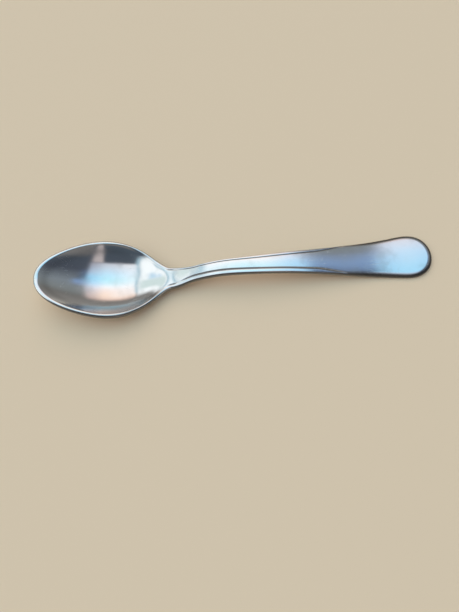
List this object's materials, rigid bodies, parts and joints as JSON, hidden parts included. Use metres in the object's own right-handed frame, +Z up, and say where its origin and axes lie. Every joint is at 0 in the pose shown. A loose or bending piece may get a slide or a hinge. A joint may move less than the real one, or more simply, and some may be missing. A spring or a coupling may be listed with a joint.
{
  "type": "teaspoon",
  "caption": "Polished stainless steel teaspoon with an egg-shaped bowl, arched stem with a raised panel between pressed lines, and a plain rounded handle end.",
  "frame": {"origin": "on the surface the spoon lies on, under the middle of its length and width", "axes": "+X runs along the spoon from the tip of the bowl to the end of the handle, +Y across it, +Z up out of the open bowl"},
  "size_m": [0.1378, 0.0286, 0.0123],
  "materials": {
    "polished_steel": "polished stainless steel with fine wear scratches"
  },
  "bodies": {
    "root": {"bowl": "polished_steel", "neck": "polished_steel", "stem": "polished_steel", "handle_end": "polished_steel"}
  },
  "joints": []
}
